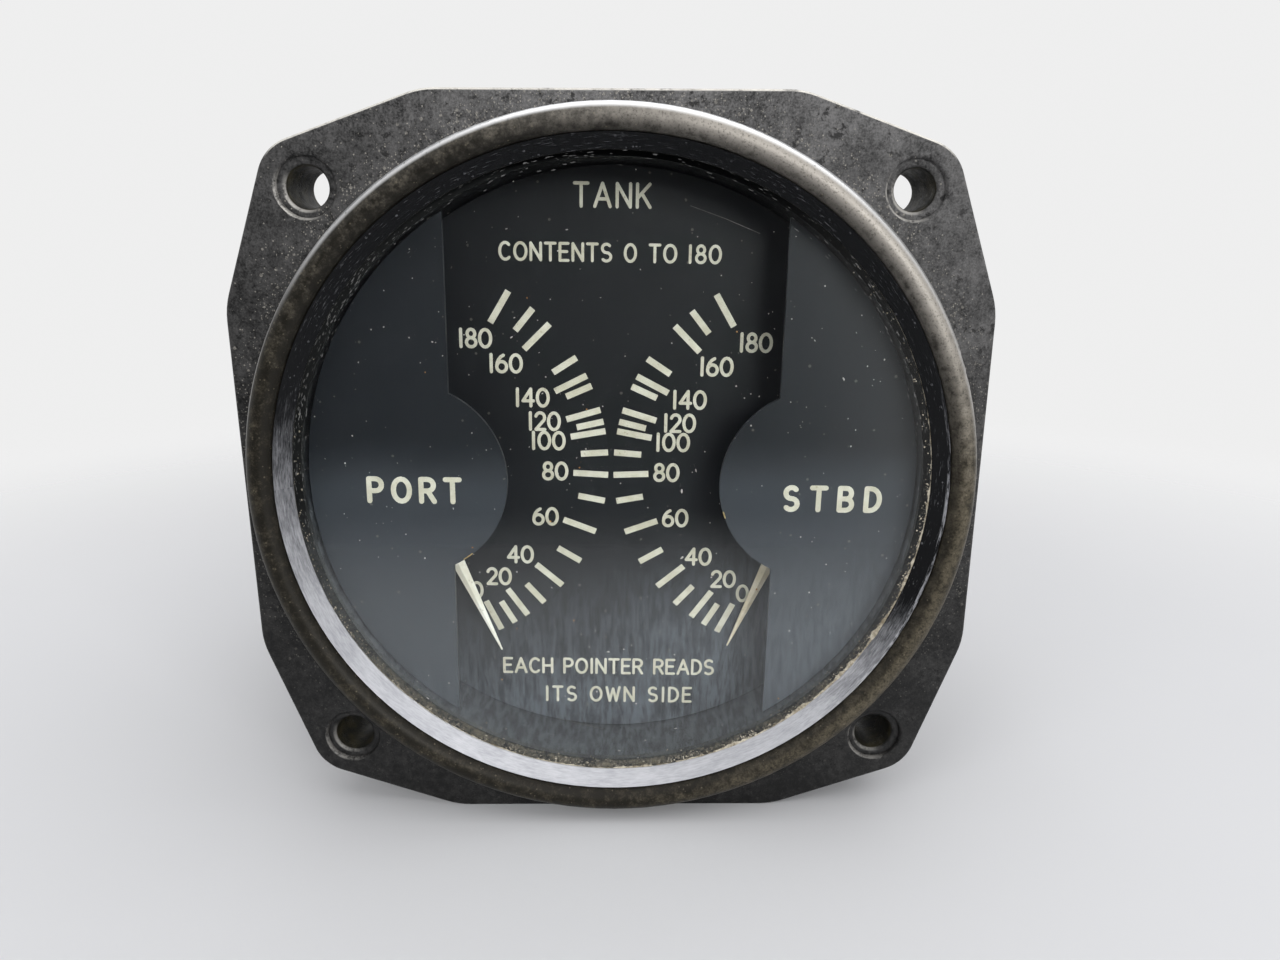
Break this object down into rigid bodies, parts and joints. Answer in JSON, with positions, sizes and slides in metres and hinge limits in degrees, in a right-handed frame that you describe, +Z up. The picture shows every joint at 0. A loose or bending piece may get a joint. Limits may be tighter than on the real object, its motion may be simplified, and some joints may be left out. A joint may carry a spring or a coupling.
{
  "type": "aircraft fuel gauge",
  "caption": "Round-dial panel instrument with a square lobed flange, left and right quantity pointers behind a glass, raised dial masks and a rear multi-pin receptacle.",
  "frame": {"origin": "centre of the bezel ring and of the four panel screw holes, on the front face of the flange", "axes": "+X to the right and +Z up as the dial is read, +Y from the glass into the case"},
  "size_m": [0.082, 0.0834, 0.082],
  "materials": {
    "case_paint": "satin black paint on cast metal, worn and dusty",
    "bezel_metal": "dull bronze-grey metal, worn bright on top",
    "bevel_metal": "glossy, scratched bevel",
    "glass": "clear flat glass with dust",
    "rubber": "matte",
    "sealant": "crumbly hardened sealant",
    "dial_paint": "satin blue-black paint",
    "mask_paint": "satin blue-grey black paint",
    "pointer_paint": "aged cream luminous paint",
    "brass": "machined",
    "steel": "machined",
    "magnet": "ground",
    "jewel": "polished synthetic ruby",
    "bobbin": "moulded",
    "copper": "enamelled copper wire",
    "resistance_wire": "wound resistance wire",
    "shield_metal": "drawn sheet",
    "plate_metal": "turned",
    "board": "laminated board",
    "connector_metal": "dull plated",
    "insert": "moulded",
    "contact_metal": "plated"
  },
  "bodies": {
    "case": {"flange_casting": "case_paint", "case_can": "case_paint", "bezel_ring": "bezel_metal", "bevel_ring": "bevel_metal", "cover_glass": "glass", "glass_gasket": "rubber", "connector_gasket": "rubber", "glass_sealant": "sealant", "dial_plate": "dial_paint", "left_mask": "mask_paint", "right_mask": "mask_paint", "mask_pillars": "brass", "stop_pins": "brass", "front_bushes": "brass", "board_posts": "brass", "board_terminals": "brass", "frame_screws": "steel", "shield_screws": "steel", "post_screws": "steel", "board_screws": "steel", "case_screws": "steel", "connector_screws": "steel", "return_magnets": "magnet", "rear_jewels": "jewel", "left_bobbin_front": "bobbin", "left_bobbin_rear": "bobbin", "right_bobbin_front": "bobbin", "right_bobbin_rear": "bobbin", "resistor_spools": "bobbin", "left_inner_coil": "copper", "left_outer_coil": "copper", "right_inner_coil": "copper", "right_outer_coil": "copper", "lead_wires": "copper", "resistor_windings": "resistance_wire", "left_shield_can": "shield_metal", "right_shield_can": "shield_metal", "movement_plate": "plate_metal", "terminal_board": "board", "connector_shell": "connector_metal", "connector_insert": "insert", "connector_contacts": "contact_metal"},
    "left_indicator": {"left_pointer": "pointer_paint", "left_staff": "steel", "left_rotor_magnet": "magnet"},
    "right_indicator": {"right_pointer": "pointer_paint", "right_staff": "steel", "right_rotor_magnet": "magnet"}
  },
  "joints": [
    {"name": "left_pointer_swing", "type": "hinge", "parent": "case", "child": "left_indicator", "pos_m": [-0.024, 0, 0.00044], "axis": [0, -1, 0], "range_deg": [0, 131], "stiffness_Nm_per_rad": 0.00002},
    {"name": "right_pointer_swing", "type": "hinge", "parent": "case", "child": "right_indicator", "pos_m": [0.024, 0, -0.00024], "axis": [0, 1, 0], "range_deg": [0, 131], "stiffness_Nm_per_rad": 0.00002}
  ]
}
